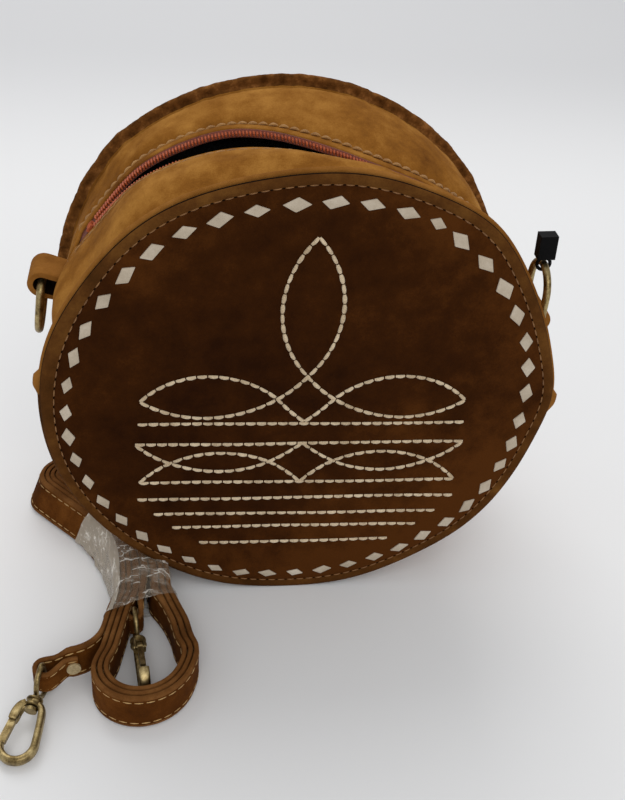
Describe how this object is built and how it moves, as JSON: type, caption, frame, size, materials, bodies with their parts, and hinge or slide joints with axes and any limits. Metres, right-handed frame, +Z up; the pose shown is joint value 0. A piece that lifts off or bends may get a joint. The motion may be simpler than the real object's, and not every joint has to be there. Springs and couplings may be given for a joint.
{
  "type": "round crossbody bag",
  "caption": "Round suede crossbody bag with a zipped gusset, laced border and boot-stitch embroidery on the front, ring tabs, and a detached strap with snap hooks wound in a hank",
  "frame": {"origin": "on the table under the middle of the bag, half way between the two rims it stands on", "axes": "+X to the right seen from the front, +Y from the embroidered front panel to the back panel, +Z up"},
  "size_m": [0.2468, 0.1966, 0.215],
  "materials": {
    "panel_suede": "dark brown oiled suede",
    "gusset_suede": "tan brown suede",
    "strap_suede": "brown suede, stitched along both edges",
    "board": "stiff board",
    "lining": "dark plain lining",
    "zip_tape": "woven brick-red tape",
    "zip_teeth": "brick-red coil teeth",
    "antique_brass": "antique brass, worn at the edges",
    "lacing": "cream leather lace",
    "cream_thread": "thick cream thread",
    "seam_thread": "tan thread",
    "black_plastic": "black moulded plastic",
    "film": "thin clear wrap"
  },
  "bodies": {
    "bag": {"front_panel": "panel_suede", "back_panel": "panel_suede", "front_stiffener": "board", "back_stiffener": "board", "front_lining": "lining", "back_lining": "lining", "lower_gusset": "gusset_suede", "upper_gusset_front": "gusset_suede", "upper_gusset_back": "gusset_suede", "lower_lining": "lining", "upper_lining_front": "lining", "upper_lining_back": "lining", "zip_tape_front": "zip_tape", "zip_tape_back": "zip_tape", "zip_teeth_front": "zip_teeth", "zip_teeth_back": "zip_teeth", "zip_bottom_stop": "antique_brass", "zip_top_stops": "antique_brass", "left_tab": "gusset_suede", "right_tab": "gusset_suede", "border_lacing": "lacing", "front_embroidery": "cream_thread", "front_seam_thread": "seam_thread", "back_seam_thread": "seam_thread", "zip_thread_front": "seam_thread", "zip_thread_back": "seam_thread"},
    "slider": {"zip_slider": "antique_brass"},
    "pull": {"zip_pull": "antique_brass"},
    "ring_left": {"left_ring": "antique_brass"},
    "ring_right": {"right_ring": "antique_brass"},
    "tag": {"tag_fastener": "black_plastic"},
    "strap_hank": {"strap": "strap_suede", "film_wrap": "film", "outer_rivet": "antique_brass", "inner_rivet": "antique_brass"},
    "eye_outer": {"outer_eye": "antique_brass"},
    "hook_outer": {"outer_hook": "antique_brass", "outer_gate_pin": "antique_brass"},
    "gate_outer": {"outer_gate": "antique_brass"},
    "eye_inner": {"inner_eye": "antique_brass"},
    "hook_inner": {"inner_hook": "antique_brass", "inner_gate_pin": "antique_brass"},
    "gate_inner": {"inner_gate": "antique_brass"}
  },
  "joints": [
    {"name": "zip_travel", "type": "hinge", "parent": "bag", "child": "slider", "pos_m": [0, -0.001, 0.107], "axis": [0, -1, 0], "range_deg": [0, 113]},
    {"name": "pull_flip", "type": "hinge", "parent": "slider", "child": "pull", "pos_m": [0.09047, -0.001, 0.16136], "axis": [0, -1, 0], "range_deg": [0, 165]},
    {"name": "left_ring_swing", "type": "hinge", "parent": "bag", "child": "ring_left", "pos_m": [-0.10872, 0, 0.14128], "axis": [0, 1, 0], "range_deg": [-12, 196]},
    {"name": "right_ring_swing", "type": "hinge", "parent": "bag", "child": "ring_right", "pos_m": [0.11269, 0, 0.12424], "axis": [0, 1, 0], "range_deg": [-17, 165]},
    {"name": "tag_swing", "type": "hinge", "parent": "ring_right", "child": "tag", "pos_m": [0.11269, 0, 0.14959], "axis": [0, -1, 0], "range_deg": [-59, 12]},
    {"name": "strap_take_away", "type": "slide", "parent": "bag", "child": "strap_hank", "axis": [-1, 0, 0], "range_m": [0, 0.15]},
    {"name": "outer_eye_swing", "type": "hinge", "parent": "strap_hank", "child": "eye_outer", "pos_m": [-0.10785, -0.10641, 0.0097], "axis": [0, 0, 1], "range_deg": [-40, 40]},
    {"name": "outer_swivel", "type": "hinge", "parent": "eye_outer", "child": "hook_outer", "pos_m": [-0.11126, -0.11917, 0.00742], "axis": [-0.255, -0.9518, -0.1702], "continuous": true},
    {"name": "outer_gate_open", "type": "hinge", "parent": "hook_outer", "child": "gate_outer", "pos_m": [-0.11829, -0.12453, 0.00621], "axis": [-0.0441, -0.1644, 0.9854], "range_deg": [0, 25], "stiffness_Nm_per_rad": 0.02, "springref_deg": -11.46},
    {"name": "inner_eye_swing", "type": "hinge", "parent": "strap_hank", "child": "eye_inner", "pos_m": [-0.07136, -0.07786, 0.0097], "axis": [0, 0, 1], "range_deg": [-4, 4]},
    {"name": "inner_swivel", "type": "hinge", "parent": "eye_inner", "child": "hook_inner", "pos_m": [-0.0695, -0.09113, 0.0097], "axis": [0.1392, -0.9903, 0], "continuous": true},
    {"name": "inner_gate_open", "type": "hinge", "parent": "hook_inner", "child": "gate_inner", "pos_m": [-0.06851, -0.09816, 0.0151], "axis": [0.9903, 0.1392, 0], "range_deg": [0, 25], "stiffness_Nm_per_rad": 0.02, "springref_deg": -11.46}
  ]
}
